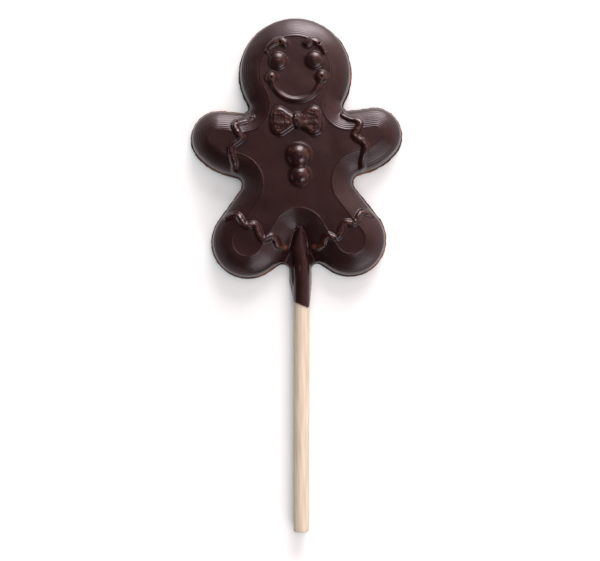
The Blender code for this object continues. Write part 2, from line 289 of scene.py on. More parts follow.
# Worn rim: its inner border, its average wear and contrast, and the least of it
RIM_BORDER = (FLASH_WIDTH + 0.05, 0.1)
RIM_WEAR = (0.45, 1.5)
LEAST_RIM_WEAR = 0.1
RIM_WEAR_PATCHES = ((6.0, 6.0), 22, 2)

# Worn tips of the ankle lines
WORN_TIPS = ((-3.9, -4.5), (4.3, -4.6))
TIP_WEAR = 0.32
TIP_SPREAD = 0.8

# Torn lower end of the sleeve
TORN_TOP_Y = -19.5
TORN_BORDER = (0.8, 0.8)
TORN_WEAR = 0.4

# Small pale spot on the ridge, a painted highlight
HIGHLIGHT_SPOT_PLACE = (0.15, -10.5)
HIGHLIGHT_SPOT_HALF_SIZE = (0.3, 0.85)
HIGHLIGHT_SPOT_SHARE = 0.14

# Ragged rim: its coarse and fine noise, and where it is calmer or torn (y, factor)
RAGS = ((1.3, 1.3), 11, 4)
FINE_RAGS = ((0.35, 0.35), 12, 2)
FINE_RAG_SHARE = 0.5
SLEEVE_RAG = (-9.0, 0.4)
TORN_RAG = (-19.7, 4.0)
RAG_DEPTH = 0.14
RAG_SHIFT = 0.06
RIM_HEIGHT = FLASH_HEIGHT * 0.75
LOWEST_FRONT = 0.2

# Fineness of the chocolate's mesh
EDGE_SPACING = 0.27
SLOPE_EDGE_SPACING = EDGE_SPACING * 0.9
RING_SPACING = 0.22
FLAT_SPACING = 0.42
RELIEF_SPACING = 0.14
BACK_SPACING = 1.6
LEAST_EDGE_LENGTH = 0.08
RING_CELL = 0.06
RING_TOLERANCE = 0.01
FINE_GAP = 0.09

# Rings of the mesh, as distances inside the outline: over the wall, up the slope, and close
# together about the slope's crisp upper edge
WALL_INSETS = [0.15, 0.25, 0.33, 0.4] + list(np.arange(0.48, 1.7, 0.1))
WALL_END = 1.68
SLOPE_INSETS = list(np.arange(1.75, SLOPE_WIDTH - 0.2, RING_SPACING))
CREST_INSETS = [SLOPE_WIDTH + step for step in (-0.12, -0.04, 0.04, 0.12, 0.25)]

# Margins of the mesh's areas. An area beside the ridge is a half width and its upper end.
FINE_MARGIN = 0.3
COARSE_MARGIN = 0.4
BACK_MARGIN = 0.6
BALL_MARGIN = 0.8
PATH_MARGIN = 1.4
BOW_AREA = (7.4, 4.6)
RIDGE_AREA_X = 0.8
FINE_RIDGE_AREA = (5.6, 3.0)
RINGLESS_AREA = (5.2, 2.0)

# Chocolate: roughness from glossy to satin, and the scale and detail of each noise
CHOCOLATE_COLOURS = ((0.0122, 0.0038, 0.0034), (0.0196, 0.0060, 0.0053))
# The paler colour serves both for real wear and for a painted highlight spot on the ridge.
WEAR_AND_HIGHLIGHT_COLOUR = (0.17, 0.062, 0.028, 1.0)
CHOCOLATE_SHEEN = (1.0, 0.88, 0.94, 1.0)
CHOCOLATE_IOR = 1.5
CHOCOLATE_ROUGHNESS = (0.2, 0.4)
CLOUDS = (160.0, 4.0)
PATCHES = (110.0, 2.0)
PATCH_RANGE = (0.35, 0.65)
PATCH_STRENGTH = (0.4, 1.0)
GRIT = (2000.0, 1.0)

# Wood
WOOD_COLOURS = ((0.455, 0.362, 0.267), (0.59, 0.515, 0.402))
WOOD_ROUGHNESS = 0.6
FIBRES = (2200.0, 5.0)
FIBRE_STRETCH = (1.0, 0.04, 1.0)
WOOD_BUMP_STRENGTH = 0.5
WOOD_BUMP_DEPTH = 0.00004

# Part of a noise's range over which a colour changes into the next
TINT_RANGE = (0.3, 0.7)

# White table, whose half size is in metres
TABLE_HALF_SIZE = 3.0
TABLE_COLOUR = (0.79, 0.79, 0.79, 1.0)
TABLE_ROUGHNESS = 0.9
TABLE_SPECULAR = 0.1

# The room's colour away from its pale side and towards it, and the angle of that side from +X
ROOM_COLOURS = ((0.02, 0.035, 0.04), (1.35, 0.9, 0.82))
BRIGHT_SIDE = math.radians(40.0)

# Tints of the light that a warm room sends back, and of the light that evens it out
WHITE = (1.0, 1.0, 1.0)
WARM = (1.0, 0.68, 0.65)
COOL = (0.95, 1.01, 1.03)

# Lights: name, azimuth and elevation in degrees, distance, size, radiance and tint
LIGHTS = (
    ("window", 76.0, 21.0, 1.0, (0.6, 0.62), 12.0, WHITE),
    ("window side", 104.0, 19.0, 1.0, (0.3, 0.5), 1.2, WHITE),
    ("low fill", -55.0, 31.0, 1.0, (0.6, 0.36), 5.6, WHITE),
    ("ceiling panel", 58.0, 71.0, 1.5, (0.5, 0.2), 5.6, WARM),
)

# The broad light overhead whitens the table and isn't mirrored in the chocolate.
OVERHEAD = ("overhead", 90.0, 89.0, 1.5, (2.0, 2.0), 1.5, COOL)

# Camera: straight above, with the picture's scale in millimetres for each pixel, and its lean
CAMERA_HEIGHT = 362.0
CAMERA_OVER = (0.10, -14.02)
PIXEL = 0.289
LEAN = math.radians(1.24)
SENSOR = 36.0
VIEW_RANGE = (0.01, 10.0)


def smooth_step(share):
    share = np.clip(share, 0.0, 1.0)
    return share * share * (3.0 - 2.0 * share)


def rising(values, start, width):
    """Smooth share that grows from 0 at the start to 1 at a width past it."""
    return smooth_step((values - start) / width)


def falling(values, end, width):
    """Smooth share that shrinks from 1 at a width before the end to 0 at the end."""
    return smooth_step((end - values) / width)


def ramp_up(values, start, width):
    """Straight share that grows from 0 at the start to 1 at a width past it."""
    return np.clip((values - start) / width, 0.0, 1.0)


def ramp_down(values, end, width):
    """Straight share that shrinks from 1 at a width before the end to 0 at the end."""
    return np.clip((end - values) / width, 0.0, 1.0)


def smooth_max(a, b, width):
    """The larger of two heights, with a fillet where they meet."""
    blend = np.clip(width - np.abs(a - b), 0.0, None) / width
    return np.maximum(a, b) + blend ** 2 * width / 4.0


def smooth_min(a, b, width):
    return -smooth_max(-a, -b, width)


def mound(distance, size, fullness):
    """Rounded mound over the distance from its middle, blunter where the fullness is small."""
    half_width, height = size
    share = np.clip(distance / half_width, 0.0, 1.0)
    return height * (1.0 - share ** 2) ** fullness


def merged(first, second):
    """Two mounds that grow into one where they meet."""
    return (first ** 4 + second ** 4) ** 0.25


def grain(places, size, seed, octaves):
    """Smooth noise between about -1 and 1 at each place."""
    shift = Vector([seed * step for step in SEED_SHIFT])
    values = []
    for x, y in places:
        spot = Vector((x / size[0], y / size[1], 0.0)) + shift
        values.append(noise.fractal(spot, OCTAVE_WEAKENING, OCTAVE_FINENESS, octaves))
    return np.array(values)


def distance_from(places, place):
    return np.linalg.norm(places - np.array(place), axis=1)


def tangent_direction(first, second):
    """Heading of the straight edge that leaves one circle and touches the next."""
    dx = second[0] - first[0]
    dy = second[1] - first[1]
    ratio = (first[2] - second[2]) / math.hypot(dx, dy)
    return math.atan2(dy, dx) - math.asin(max(-1.0, min(1.0, ratio)))


def normal_of(heading):
    """Outward normal of a clockwise outline at a heading."""
    return np.array([-math.sin(heading), math.cos(heading)])


class Belt:
    """Closed clockwise outline of arcs round circles and of their common tangents."""

    def __init__(self, circles):
        count = len(circles)
        headings = [
            tangent_direction(circles[i], circles[(i + 1) % count]) for i in range(count)
        ]
        self.arcs = []
        for i, (x, y, radius) in enumerate(circles):
            start = headings[i - 1]
            turn = (start - headings[i]) % math.tau
            if radius < 0.0:
                turn -= math.tau
            if abs(turn) > FULL_TURN:
                turn = 0.0
            self.arcs.append((np.array([x, y]), radius, start, turn))

    def next_start(self, i):
        """Place where the arc after one begins."""
        centre, radius, start, _ = self.arcs[(i + 1) % len(self.arcs)]
        return centre + normal_of(start) * radius

    def trace(self, spacing):
        """Points along the outline and their outward normals."""
        points = []
        normals = []
        for i, (centre, radius, start, turn) in enumerate(self.arcs):
            steps = max(1, math.ceil(abs(turn * radius) / spacing))
            if abs(radius) < SMALL_RADIUS:
                steps *= SMALL_ARC_FINENESS
            for k in range(steps + 1):
                normal = normal_of(start - turn * k / steps)
                points.append(centre + normal * radius)
                normals.append(normal)
            end = points[-1]
            goal = self.next_start(i)
            steps = int(np.linalg.norm(goal - end) / spacing)
            for k in range(1, steps):
                points.append(end + (goal - end) * k / steps)
                normals.append(normals[-1])
        return np.array(points), np.array(normals)

    def inset(self, places):
        """Distance inside the outline of each place, below zero outside."""
        best = np.full(len(places), FAR)

        def keep(distance, valid):
            closer = valid & (np.abs(distance) < np.abs(best))
            best[closer] = distance[closer]

        for i, (centre, radius, start, turn) in enumerate(self.arcs):
            offset = places - centre
            reach = np.linalg.norm(offset, axis=1) + 1e-12
            sign = 1.0 if radius > 0.0 else -1.0
            normal = sign * offset / reach[:, None]
            heading = np.arctan2(-normal[:, 0], normal[:, 1])
            swept = (start - heading) * sign % math.tau
            keep(sign * (abs(radius) - reach), swept <= abs(turn))
            end = centre + normal_of(start - turn) * radius
            goal = self.next_start(i)
            length = np.linalg.norm(goal - end)
            if length < SAME_PLACE:
                continue
            along = (goal - end) / length
            outward = np.array([-along[1], along[0]])
            share = (places - end) @ along
            keep(-((places - end) @ outward), (share >= 0.0) & (share <= length))
        return best


def mirrored(circle):
    return (-circle[0], circle[1], circle[2])


def smooth_path(points, steps=6):
    """Catmull-Rom curve through the points."""
    points = [np.array(p, dtype=float) for p in points]
    guides = [2.0 * points[0] - points[1]] + points + [2.0 * points[-1] - points[-2]]
    path = []
    for i in range(1, len(guides) - 2):
        before, here, after, beyond = guides[i - 1:i + 3]
        for k in range(steps):
            t = k / steps
            path.append(0.5 * (
                2.0 * here
                + (after - before) * t
                + (2.0 * before - 5.0 * here + 4.0 * after - beyond) * t ** 2
                + (3.0 * here - before - 3.0 * after + beyond) * t ** 3
            ))
    path.append(points[-1])
    return np.array(path)


def path_distance(places, path):
    """Distance of each place from a path, how far along it the nearest point is, and how
    squarely the place lies below it. Places out of reach are far from it."""
    best = np.full(len(places), FAR)
    share = np.zeros(len(places))
    below = np.zeros(len(places))
    low = path.min(axis=0) - PATH_REACH
    high = path.max(axis=0) + PATH_REACH
    near = np.all((places > low) & (places < high), axis=1)
    index = np.flatnonzero(near)
    local = places[index]
    found = np.full(len(local), FAR)
    where = np.zeros(len(local))
    drop = np.zeros(len(local))
    for k in range(len(path) - 1):
        start = path[k]
        along = path[k + 1] - start
        t = np.clip((local - start) @ along / (along @ along), 0.0, 1.0)
        offset = local - start - t[:, None] * along
        gap = np.linalg.norm(offset, axis=1)
        closer = gap < found
        found[closer] = gap[closer]
        where[closer] = (k + t[closer]) / (len(path) - 1)
        drop[closer] = -offset[closer, 1] / np.maximum(gap[closer], TINY)
    best[index] = found
    share[index] = where
    below[index] = drop
    return best, share, below


def line_paths():
    """The piped lines of the cuffs and ankles, on both sides."""
    paths = []
    for points in (CUFF_POINTS, ANKLE_POINTS):
        for side in (1.0, -1.0):
            paths.append(smooth_path([(side * x + RELIEF_X, y) for x, y in points]))
    return paths


def smile_path():
    """An arc of a circle from cheek to cheek."""
    start_x = CHEEK_PLACE[0] - SMILE_END_INWARDS
    drop = CHEEK_PLACE[1] - SMILE_END_BELOW - SMILE_BOTTOM_Y
    radius = (start_x ** 2 + drop ** 2) / (2.0 * drop)
    reach = math.asin(start_x / radius)
    angles = np.linspace(-reach, reach, SMILE_STEPS)
    x = radius * np.sin(angles) + RELIEF_X
    y = SMILE_BOTTOM_Y + radius * (1.0 - np.cos(angles))
    return np.stack([x, y], axis=1)


def face_balls():
    """(x, y, radius, height) of the eyes and the cheeks."""
    balls = []
    for side in (1.0, -1.0):
        balls.append((side * EYE_PLACE[0] + RELIEF_X, EYE_PLACE[1], *EYE_SIZE))
        balls.append((side * CHEEK_PLACE[0] + RELIEF_X, CHEEK_PLACE[1], *CHEEK_SIZE))
    return balls


BODY = Belt([HEAD] + SIDE + [NOTCH] + [mirrored(c) for c in reversed(SIDE)])
WHOLE = Belt([HEAD] + SIDE + SLEEVE + [mirrored(c) for c in reversed(SIDE)])
LOBE = Belt(BOW_LOBE)
LINES = line_paths()
BROWS = [smooth_path(LEFT_BROW), smooth_path(RIGHT_BROW)]
BORDER_PATHS = [smooth_path(points) for points in BORDERS]
SMILE = smile_path()
FACE_BALLS = face_balls()


def slope_profile(inset, finish=SLOPE_FINISH, crispness=1.0):
    """Height of the slope at each distance inside the edge, up to the flat front.

    It grows gentler up to a fine raised line at the edge of the flat front, and runs on
    straight outside. The finish is its steepness at the flat front.
    """
    run = SLOPE_WIDTH - FLASH_WIDTH
    begin = SLOPE_START + SLOPE_FINISH - finish
    along = np.minimum(inset - FLASH_WIDTH, run)
    slope = begin * along + (finish - begin) * np.clip(along, 0.0, None) ** 2 / (2.0 * run)
    edge_line = EDGE_LINE_HEIGHT * np.exp(-((inset - SLOPE_WIDTH) / EDGE_LINE_WIDTH) ** 2)
    return THICKNESS - SLOPE_RISE + slope + edge_line * crispness


def front_profile(inset, finish=SLOPE_FINISH, crispness=1.0):
    """Height of the plain front: the thin rim, and a steep wall that bends into the slope."""
    inset = np.clip(inset, FLASH_WIDTH, None)
    wall_rise = THICKNESS - SLOPE_RISE - FLASH_HEIGHT
    missing = wall_rise * np.exp(-(inset - FLASH_WIDTH) / WALL_SPREAD)
    return slope_profile(inset, finish, crispness) - missing


def stick_x(y):
    """Sideways place of the stick's axis."""
    return STICK_CROSSING_X + y * math.tan(STICK_LEAN)


def ridge_offset(places):
    """Distance of each place from the ridge's middle, and the ridge's half width there."""
    y = places[:, 1]
    tube = smooth_step((RIDGE_WIDEST[1] - y) / (RIDGE_WIDEST[1] - TUBE_TOP_Y))
    rise = np.clip((RIDGE_TIP[1] - y) / (RIDGE_TIP[1] - RIDGE_WIDEST[1]), 0.0, 1.0)
    arch_middle = RIDGE_TIP[0] + (RIDGE_WIDEST[0] - RIDGE_TIP[0]) * rise
    middle = arch_middle + (stick_x(y) - arch_middle) * tube
    half_width = RIDGE_HALF_WIDTH * rise ** 0.5
    half_width = half_width + (TUBE_HALF_WIDTH - half_width) * tube
    return np.abs(places[:, 0] - middle), half_width


def ridge_height(places):
    """Height of the round ridge over the stick, which falls away steeply beside it."""
    y = places[:, 1]
    offset, half_width = ridge_offset(places)
    share = offset / np.maximum(half_width, TINY)
    tube = falling(y, RIDGE_WIDEST[1], TUBE_FULLNESS_BLEND)
    fullness = RIDGE_FULLNESS - TUBE_FULLNESS_LOSS * tube
    ridge = np.clip(1.0 - share ** fullness, 0.0, 1.0) ** (1.0 / fullness)
    ridge = STICK_AXIS_Z + RIDGE_CREST * ridge
    beyond = STICK_AXIS_Z - RIDGE_FALL * (offset - half_width)
    return np.where((share < 1.0) & (y < RIDGE_TIP[1]), ridge, beyond)


def web_height(places):
    """Height of the low chocolate beside the ridge: the valleys and the flanges."""
    y = places[:, 1]
    web = rising(y, WEB_RANGE[0], WEB_RANGE[1] - WEB_RANGE[0])
    level = WEB_LEVELS[0] + (WEB_LEVELS[1] - WEB_LEVELS[0]) * web
    flange = falling(y, WEB_RANGE[0], FLANGE_BLEND)
    level = level + (FLANGE_LEVEL - level) * flange
    return np.where(y < WEB_TOP_Y, level, 0.0)


def sleeve_side(edge):
    """Height of the sleeve's steep side at each distance inside the outline."""
    return SLEEVE_FOOT + SLEEVE_STEEPNESS * edge


def lobes_height(local, creases, crumbs):
    """Height of the bow tie's two lobes, and how far outside them each place is."""
    height = np.zeros(len(local))
    gap = np.full(len(local), BOW_FAR)
    fold = FOLD_HEIGHT * np.exp(-((local[:, 1] - FOLD_Y) / FOLD_WIDTH) ** 2)
    crumple = CREASE_HEIGHT * creases + CRUMB_HEIGHT * crumbs + fold - BOW_SINK
    for side, shift in ((1.0, 0.0), (-1.0, LEFT_LOBE_SHIFT)):
        inset = LOBE.inset((local + np.array([shift, 0.0])) * np.array([side, 1.0]))
        gap = np.minimum(gap, -inset)
        across = np.clip(inset, 0.0, BOW_RIM)
        rim = BOW_WALL[0] * (1.0 - np.exp(-across / BOW_WALL[1]))
        rim += BOW_RIM_SLOPES[0] * across
        rim += (BOW_RIM_SLOPES[1] - BOW_RIM_SLOPES[0]) * across ** 2 / (2.0 * BOW_RIM)
        lobe = rim + rising(inset, *BOW_INNER) * crumple
        height = np.maximum(height, np.where(inset > 0.0, lobe, 0.0))
    return height, gap


def knot_height(local, crumbs):
    """Height of the bow tie's squarish knot, and about how far outside it each place is."""
    wide, tall, high = KNOT_SIZE
    spread = np.abs(local[:, 0] / wide) ** KNOT_SQUARENESS
    spread += np.abs(local[:, 1] / tall) ** KNOT_SQUARENESS
    knot = high * np.clip(1.0 - spread, 0.0, 1.0) ** 0.5
    knot += KNOT_CRUMB_HEIGHT * crumbs * (spread < KNOT_CRUMB_SPREAD)
    return np.clip(knot, 0.0, None), BOW_FAR * (spread - 1.0)


def bow_height(places):
    """Height of the crumpled bow tie, and how far outside it each place is."""
    local = places - np.array(BOW_PLACE)
    near = np.flatnonzero(np.all(np.abs(local) < np.array(BOW_REACH), axis=1))
    local = local[near]
    creases = grain(local, *CREASES)
    crumbs = grain(local, *CRUMBS)
    lobes, lobes_gap = lobes_height(local, creases, crumbs)
    knot, knot_gap = knot_height(local, crumbs)
    total = np.zeros(len(places))
    total[near] = merged(lobes, knot)
    outside = np.full(len(places), BOW_FAR)
    outside[near] = np.minimum(lobes_gap, knot_gap)
    return total, outside


def buttons_height(places):
    """Two domes on one low pad with a soft edge."""
    height = np.zeros(len(places))
    pad = np.zeros(len(places))
    for x, y, radius, rise in BUTTONS:
        gap = distance_from(places, (x, y))
        height = np.hypot(height, mound(gap, (radius, rise), BUTTON_FULLNESS))
        edge = falling(gap, radius + BUTTON_PAD[0], BUTTON_PAD[0])
        pad = np.maximum(pad, BUTTON_PAD[1] * edge)
    return height + pad


def skirt(gap, below):
    """Low bevel below the relief, from how far outside the relief's foot a place is."""
    share = smooth_step(SKIRT_TURN + below)
    reach = np.where(gap > 0.0, gap, -SKIRT_INWARD_SHARE * gap) / SKIRT_WIDTH
    return SKIRT_HEIGHT * share * np.clip(1.0 - reach, 0.0, 1.0)


def balls_height(places):
    """Height of the eyes and cheeks, and of the bevel below them."""
    balls = np.zeros(len(places))
    foot = np.zeros(len(places))
    for x, y, radius, height in FACE_BALLS:
        gap = distance_from(places, (x, y))
        balls = merged(balls, mound(gap, (radius, height), BALL_FULLNESS))
        below = (y - places[:, 1]) / np.maximum(gap, TINY)
        foot = np.maximum(foot, skirt(gap - radius, below))
    return balls, foot


def piped_height(places):
    """Height of the piped lines, the smile and the brows, and of the bevel below them."""
    piped = np.zeros(len(places))
    foot = np.zeros(len(places))
    lumps = 1.0 + LUMP_SHARE * grain(places, *LUMPS)
    for path in LINES:
        gap, _, below = path_distance(places, path)
        piped = merged(piped, mound(gap * lumps, LINE_SIZE, LINE_FULLNESS) * lumps)
        foot = np.maximum(foot, skirt(gap - LINE_SIZE[0] + LINE_SKIRT_TUCK, below))
    gap, _, below = path_distance(places, SMILE)
    piped = merged(piped, mound(gap, SMILE_SIZE, SMILE_FULLNESS))
    foot = np.maximum(foot, skirt(gap - SMILE_SIZE[0], below))
    for path in BROWS:
        gap, share, below = path_distance(places, path)
        taper = 1.0 - BROW_TAPER * rising(share, *BROW_TAPER_RANGE)
        size = (BROW_SIZE[0] * taper, BROW_SIZE[1] * taper)
        piped = merged(piped, mound(gap, size, BROW_FULLNESS) * lumps)
        foot = np.maximum(foot, skirt(gap - size[0], below))
    return piped, foot


def relief_height(places):
    """Height of the relief over the plain front, and how dull each place is."""
    balls, balls_foot = balls_height(places)
    piped, piped_foot = piped_height(places)
    bow, bow_gap = bow_height(places)
    bow_foot = skirt(bow_gap, (BOW_PLACE[1] - places[:, 1]) / BOW_SKIRT_Y)
    relief = merged(merged(merged(balls, piped), bow), buttons_height(places))
    foot = np.maximum(np.maximum(balls_foot, piped_foot), bow_foot)
    satin = np.where(relief > RELIEF_EDGE, DULLNESS["buttons"], DULLNESS["plain"])
    satin = np.where(bow > RELIEF_EDGE, DULLNESS["bow"], satin)
    satin = np.where(balls > RELIEF_EDGE, DULLNESS["balls"], satin)
    return relief + foot, satin


def pinhole_depth(places):
    """Depth of the burst bubbles at each place."""
    depth = np.zeros(len(places))
    for pinhole in PINHOLES:
        gap = distance_from(places, pinhole)
        depth = np.maximum(depth, mound(gap, PINHOLE_SIZE, 1.0))
    return depth


def plain_front(places, inside):
    """Height of the plain figure, and the steepness of its slope at the flat front."""
    aside = np.abs(places[:, 0])
    y = places[:, 1]
    on_arm = rising(aside, *ARM_SIDE) * (y > ARM_BOTTOM_Y)
    beside_face = rising(aside, *FACE_SIDE) * rising(y, *FACE_BOTTOM) * falling(y, *FACE_TOP)
    finish = SLOPE_FINISH - LIMB_SOFTENING * rising(aside, *LIMB_SIDE)
    finish = finish - ARM_SOFTENING * on_arm - HEAD_SOFTENING * beside_face
    crispness = (1.0 - on_arm) * (1.0 - FACE_EDGE_FADING * beside_face)
    front = np.where(inside > 0.0, front_profile(inside, finish, crispness), 0.0)
    return front, finish


def low_front(places, edge, inside):
    """Height of the front without ridge and relief, and the valley's share in it."""
    aside = np.abs(places[:, 0])
    y = places[:, 1]
    body, finish = plain_front(places, inside)
    between_feet = falling(aside, *VALLEY_SIDE) * falling(y, *VALLEY_TOP)
    on_sleeve = falling(aside, *SLEEVE_AREA_SIDE) * falling(y, *SLEEVE_AREA_TOP)
    side = front_profile(edge)
    side += (sleeve_side(edge) - side) * on_sleeve
    valley = smooth_max(slope_profile(inside, finish), web_height(places), WEB_FILLET)
    valley = smooth_min(valley, side, WALL_FILLET)
    low = body + (valley - body) * between_feet
    return np.maximum(low, FLASH_HEIGHT), between_feet


def heights(places):
    """The finished front at each place.

    Its height, the distance inside the outline with the sleeve and without it, the height
    of the relief, the dullness, and whether the cutter's lines can show.
    """
    edge = WHOLE.inset(places)
    inside = BODY.inset(places)
    low, between_feet = low_front(places, edge, inside)
    ridge = ridge_height(places) + np.minimum(0.0, (edge - RIDGE_MARGIN) * RIDGE_MARGIN_SLOPE)
    front = np.where(places[:, 1] < RIDGE_REACH_Y, smooth_max(low, ridge, RIDGE_FILLET), low)
    relief, satin = relief_height(places)
    for path in BORDER_PATHS:
        bead = mound(path_distance(places, path)[0], BORDER_SIZE, 1.0)
        front = front + bead
        satin = np.where(bead > BORDER_EDGE, DULLNESS["border"], satin)
    raised = (relief - pinhole_depth(places)) * ramp_up(edge, *RELIEF_RIM)
    waves = WAVE_HEIGHT * grain(places, *WAVES) * ramp_up(edge, *WAVE_RIM)
    in_crotch = (between_feet > CROTCH_SHARE) & (inside < CROTCH_INSET)
    cut = (relief < CUT_RELIEF_LIMIT) & (ridge < low - CUT_RIDGE_LIMIT) & ~in_crotch
    return front + raised + waves, edge, inside, relief, satin, cut


def wear_and_highlight_share(places, edge, relief):
    """How much of the paler colour each place has: real wear, and a painted highlight on the
    ridge.
    """
    scuffs = np.clip(grain(places, *SCUFFS) * SCUFF_CONTRAST, 0.0, 1.0)
    wear_and_highlight = SCUFF_WEAR * ramp_up(relief, *SCUFF_RELIEF) * scuffs
    rim_wear = RIM_WEAR[0] + RIM_WEAR[1] * grain(places, *RIM_WEAR_PATCHES)
    rim_wear = np.clip(rim_wear, LEAST_RIM_WEAR, 1.0)
    wear_and_highlight = np.maximum(wear_and_highlight, ramp_down(edge, *RIM_BORDER) * rim_wear)
    # Painted highlight: a small pale spot on the ridge, in the paler colour
    highlight_spot = np.linalg.norm((places - np.array(HIGHLIGHT_SPOT_PLACE)) / np.array(HIGHLIGHT_SPOT_HALF_SIZE), axis=1)
    wear_and_highlight = np.where(highlight_spot < 1.0, HIGHLIGHT_SPOT_SHARE, wear_and_highlight)
    for tip in WORN_TIPS:
        gap = distance_from(places, tip)
        wear_and_highlight = np.maximum(wear_and_highlight, TIP_WEAR * np.exp(-(gap / TIP_SPREAD) ** 2))
    torn = ramp_down(edge, *TORN_BORDER) * (places[:, 1] < TORN_TOP_Y)
    wear_and_highlight = np.maximum(wear_and_highlight, TORN_WEAR * torn * scuffs)
    for pinhole in PINHOLES:
        gap = distance_from(places, pinhole)
        ring = np.exp(-((gap - PINHOLE_RING[0]) / PINHOLE_RING[1]) ** 2)
        wear_and_highlight = np.maximum(wear_and_highlight, PINHOLE_WEAR * ring)
        wear_and_highlight[gap < PINHOLE_SIZE[0]] = 0.0
    return wear_and_highlight


def at_ridge(places, area):
    """Whether each place is in an area beside the ridge."""
    return (np.abs(places[:, 0] - RIDGE_AREA_X) < area[0]) & (places[:, 1] < area[1])


def near_relief(places):
    """Whether each place is close to some relief and needs a fine mesh."""
    near = at_ridge(places, FINE_RIDGE_AREA)
    for x, y, radius, _ in FACE_BALLS + list(BUTTONS):
        near |= distance_from(places, (x, y)) < radius + BALL_MARGIN
    for path in LINES + BROWS + [SMILE]:
        near |= path_distance(places, path)[0] < PATH_MARGIN
    near |= np.all(np.abs(places - np.array(BOW_PLACE)) < np.array(BOW_AREA), axis=1)
    return near


def hex_grid(low, high, spacing):
    rows = np.arange(low[1], high[1], spacing * math.sqrt(0.75))
    columns = np.arange(low[0], high[0], spacing)
    x, y = np.meshgrid(columns, rows)
    x = x + (np.arange(len(rows)) % 2)[:, None] * spacing / 2.0
    return np.stack([x.ravel(), y.ravel()], axis=1)


def one_per_cell(places, size):
    """The first of the places in each square cell."""
    spaced = []
    taken = set()
    for place in places:
        cell = tuple(np.floor(place / size).astype(int))
        if cell not in taken:
            taken.add(cell)
            spaced.append(place)
    return np.array(spaced)


def thin_out(kept, extra, gap):
    """The extra places that lie more than a gap from all the kept ones."""
    cells = set()
    for x, y in np.floor(kept / gap).astype(int):
        cells.add((x, y))
    clear = []
    for i, (x, y) in enumerate(np.floor(extra / gap).astype(int)):
        if not any((x + dx, y + dy) in cells for dx in (-1, 0, 1) for dy in (-1, 0, 1)):
            clear.append(i)
    return extra[clear]


def edge_loop(edge, normals):
    """The outline as a ragged rim, torn at the sleeve's lower end."""
    y = edge[:, 1]
    ragged = grain(edge, *RAGS) + FINE_RAG_SHARE * grain(edge, *FINE_RAGS)
    for top_y, factor in (SLEEVE_RAG, TORN_RAG):
        ragged *= np.where(y < top_y, factor, 1.0)
    loop = edge + normals * (RAG_DEPTH * ragged - RAG_SHIFT)[:, None]
    keep = [0]
    for i in range(1, len(loop)):
        if np.linalg.norm(loop[i] - loop[keep[-1]]) > LEAST_EDGE_LENGTH:
            keep.append(i)
    return loop[keep]


def wall_rings(edge, normals):
    """Rings of places over the rim and the steep wall."""
    rings = []
    for inset in WALL_INSETS:
        ring = edge - normals * inset
        rings.append(ring[WHOLE.inset(ring) > inset - RING_TOLERANCE])
    return rings


def slope_rings():
    """Rings of places up the slope and about its upper edge."""
    edge, normals = BODY.trace(SLOPE_EDGE_SPACING)
    rings = []
    for inset in SLOPE_INSETS + CREST_INSETS:
        ring = edge - normals * inset
        valid = (BODY.inset(ring) > inset - RING_TOLERANCE) & (WHOLE.inset(ring) > WALL_END)
        rings.append(ring[valid & ~at_ridge(ring, RINGLESS_AREA)])
    return rings


def front_places():
    """The edge loop, and the other places of the front's vertices: rings, then the fill."""
    edge, normals = WHOLE.trace(EDGE_SPACING)
    loop = edge_loop(edge, normals)
    rings = np.concatenate(wall_rings(edge, normals) + slope_rings())
    rings = one_per_cell(rings, RING_CELL)
    low = loop.min(axis=0)
    high = loop.max(axis=0)
    fine = hex_grid(low, high, RELIEF_SPACING)
    fine = fine[WHOLE.inset(fine) > WALL_END]
    fine = fine[near_relief(fine)]
    ringed = (BODY.inset(fine) < SLOPE_WIDTH + FINE_MARGIN) & ~at_ridge(fine, RINGLESS_AREA)
    fine = thin_out(rings, fine[~ringed], FINE_GAP)
    coarse = hex_grid(low, high, FLAT_SPACING)
    coarse = coarse[BODY.inset(coarse) > SLOPE_WIDTH + COARSE_MARGIN]
    coarse = coarse[~near_relief(coarse)]
    return loop, np.concatenate([rings, fine, coarse])


def triangulated(loop, inner):
    """Triangles over a closed loop and the places inside it."""
    count = len(loop)
    places = [Vector(p) for p in np.concatenate([loop, inner])]
    edges = [(i, (i + 1) % count) for i in range(count)]
    verts, _, faces, origin, _, _ = delaunay_2d_cdt(places, edges, [], 1, SAME_VERTEX)
    found = {}
    for new, old in enumerate(origin):
        for index in old:
            found[index] = new
    flat = np.array([(v.x, v.y) for v in verts])
    return flat, faces, [found[i] for i in range(count)]


def closed_mesh(front, faces, rim, loop):
    """Mesh of the finished front, the flat back below it, and the narrow band between them."""
    back_inner = hex_grid(loop.min(axis=0), loop.max(axis=0), BACK_SPACING)
    back_inner = back_inner[WHOLE.inset(back_inner) > BACK_MARGIN]
    back, back_faces, back_rim = triangulated(loop, back_inner)
    verts = np.concatenate([front, np.column_stack([back, np.zeros(len(back))])])
    verts[:, 1] += CROTCH_Y
    start = len(front)
    polygons = [tuple(face) for face in faces]
    polygons += [tuple(start + i for i in reversed(face)) for face in back_faces]
    count = len(rim)
    for i in range(count):
        j = (i + 1) % count
        polygons.append((rim[i], rim[j], start + back_rim[j], start + back_rim[i]))
    mesh = bpy.data.meshes.new("chocolate")
    mesh.from_pydata([tuple(v) for v in verts * MM], [], polygons)
    mesh.validate()
    mesh.shade_smooth()
    return mesh


